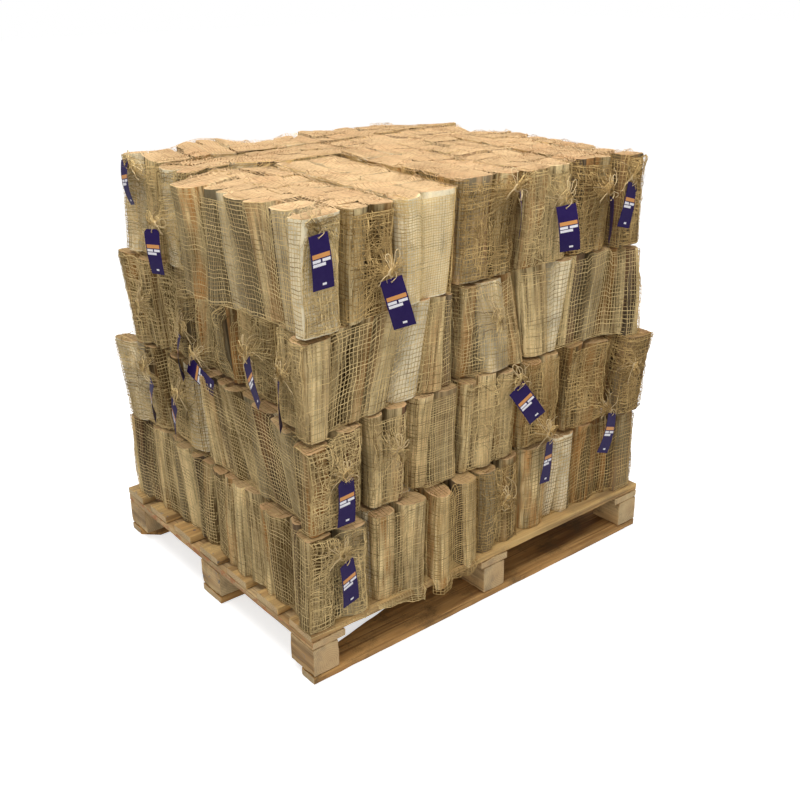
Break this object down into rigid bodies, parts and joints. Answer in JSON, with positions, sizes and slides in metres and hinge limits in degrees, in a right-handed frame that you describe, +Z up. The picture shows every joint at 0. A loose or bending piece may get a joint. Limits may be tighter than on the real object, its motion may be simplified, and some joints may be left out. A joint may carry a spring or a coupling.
{
  "type": "pallet of netted split logs",
  "caption": "Timber pallet stacked with open-weave net bags of upright split firewood logs, each bag gathered and tied at one end.",
  "frame": {"origin": "on the floor, under the centre of the pallet", "axes": "+X along the pallet's long side, +Y along its short side away from the front, +Z up"},
  "size_m": [1.2, 1, 1.1572],
  "materials": {
    "pallet_board": "rough sawn softwood board, weathered, with worn paint on some edges",
    "pallet_block": "rough sawn block with end grain on two faces",
    "split_logs": "split dry log, pale fibrous faces with some bark",
    "jute_net": "open weave of hairy jute thread",
    "twine": "twisted jute twine",
    "tag_card": "printed card, smooth, with plain bands",
    "nail_steel": "dull driven nail heads"
  },
  "bodies": {
    "root": {"block_1": "pallet_block", "block_2": "pallet_block", "block_3": "pallet_block", "block_4": "pallet_block", "block_5": "pallet_block", "block_6": "pallet_block", "block_7": "pallet_block", "block_8": "pallet_block", "block_9": "pallet_block", "deck_board_1": "pallet_board", "deck_board_2": "pallet_board", "deck_board_3": "pallet_board", "deck_board_4": "pallet_board", "deck_board_5": "pallet_board", "deck_board_6": "pallet_board", "deck_board_7": "pallet_board", "log_bag_layer1_1": "split_logs", "log_bag_layer1_2": "split_logs", "log_bag_layer1_4": "split_logs", "log_bag_layer1_7": "split_logs", "log_bag_layer2_1": "split_logs", "log_bag_layer2_2": "split_logs", "log_bag_layer2_3": "split_logs", "log_bag_layer2_4": "split_logs", "log_bag_layer2_5": "split_logs", "log_bag_layer2_6": "split_logs", "log_bag_layer2_7": "split_logs", "log_bag_layer2_8": "split_logs", "log_bag_layer2_9": "split_logs", "log_bag_layer3_1": "split_logs", "log_bag_layer3_2": "split_logs", "log_bag_layer3_3": "split_logs", "log_bag_layer3_4": "split_logs", "log_bag_layer3_5": "split_logs", "log_bag_layer3_6": "split_logs", "log_bag_layer3_7": "split_logs", "log_bag_layer3_8": "split_logs", "log_bag_layer4_1": "split_logs", "log_bag_layer4_2": "split_logs", "log_bag_layer4_3": "split_logs", "log_bag_layer4_4": "split_logs", "log_bag_layer4_5": "split_logs", "log_bag_layer4_6": "split_logs", "log_bag_layer4_7": "split_logs", "log_bag_layer4_8": "split_logs", "log_bag_layer4_9": "split_logs", "log_bags_layer1_3": "split_logs", "log_bags_layer1_5": "split_logs", "log_bags_layer1_6": "split_logs", "log_bags_layer1_8": "split_logs", "log_bags_layer2_10": "split_logs", "log_bags_layer3_10": "split_logs", "log_bags_layer3_9": "split_logs", "log_bags_layer4_10": "split_logs", "skid_board_1": "pallet_board", "skid_board_2": "pallet_board", "skid_board_3": "pallet_board", "stringer_board_1": "pallet_board", "stringer_board_2": "pallet_board", "stringer_board_3": "pallet_board"}
  },
  "joints": []
}
